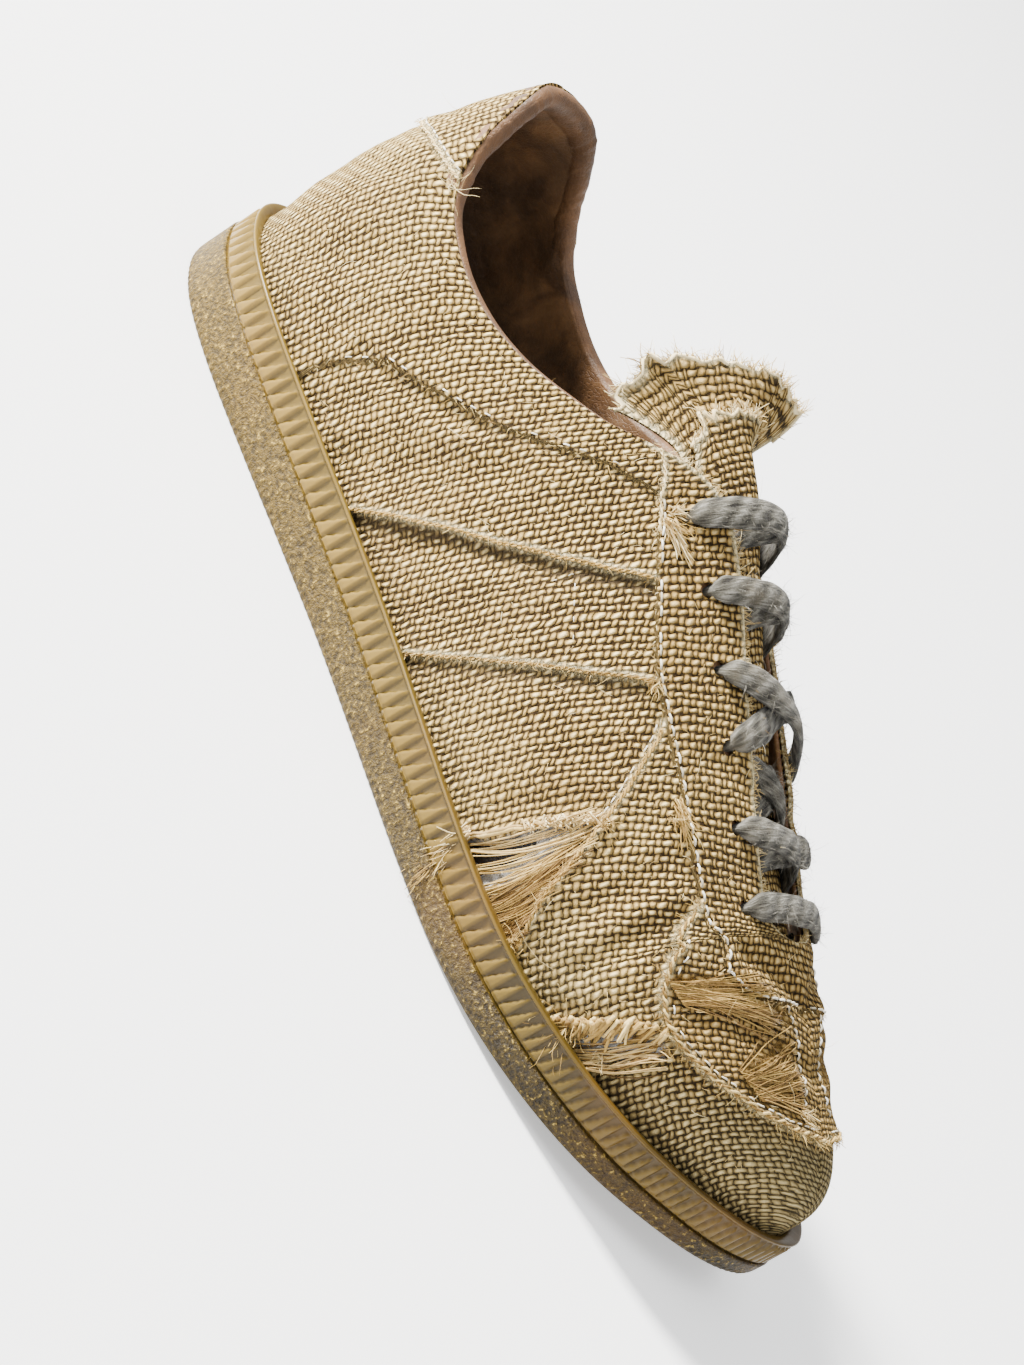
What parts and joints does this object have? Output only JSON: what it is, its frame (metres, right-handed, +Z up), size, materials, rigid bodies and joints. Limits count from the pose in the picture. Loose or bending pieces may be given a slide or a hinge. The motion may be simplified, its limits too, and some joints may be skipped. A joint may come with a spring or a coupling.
{
  "type": "worn low-top lace-up sneaker",
  "caption": "Worn low-top lace-up sneaker, right shoe, with a coarse hessian upper, leather lining, flat laces, a loose tongue and a moulded gum rubber cup sole.",
  "frame": {"origin": "centre of the bounding box in plan, at the ground the sole stands on", "axes": "+X points to the toe, +Z is up, the outer side of the foot is -Y and the inner side is +Y"},
  "size_m": [0.298, 0.107, 0.1163],
  "materials": {
    "gum_rubber": "semi-gloss, stippled",
    "hessian": "coarse plain weave, frayed",
    "leather": "soft, creased, dirty",
    "lace": "flat woven, fuzzy"
  },
  "bodies": {
    "root": {"outsole": "gum_rubber", "upper": "hessian", "insole": "leather", "tongue": "hessian", "lace_bar_1": "lace", "lace_cross_2": "lace", "lace_cross_4": "lace", "lace_cross_5": "lace", "lace_cross_6": "lace"}
  },
  "joints": []
}
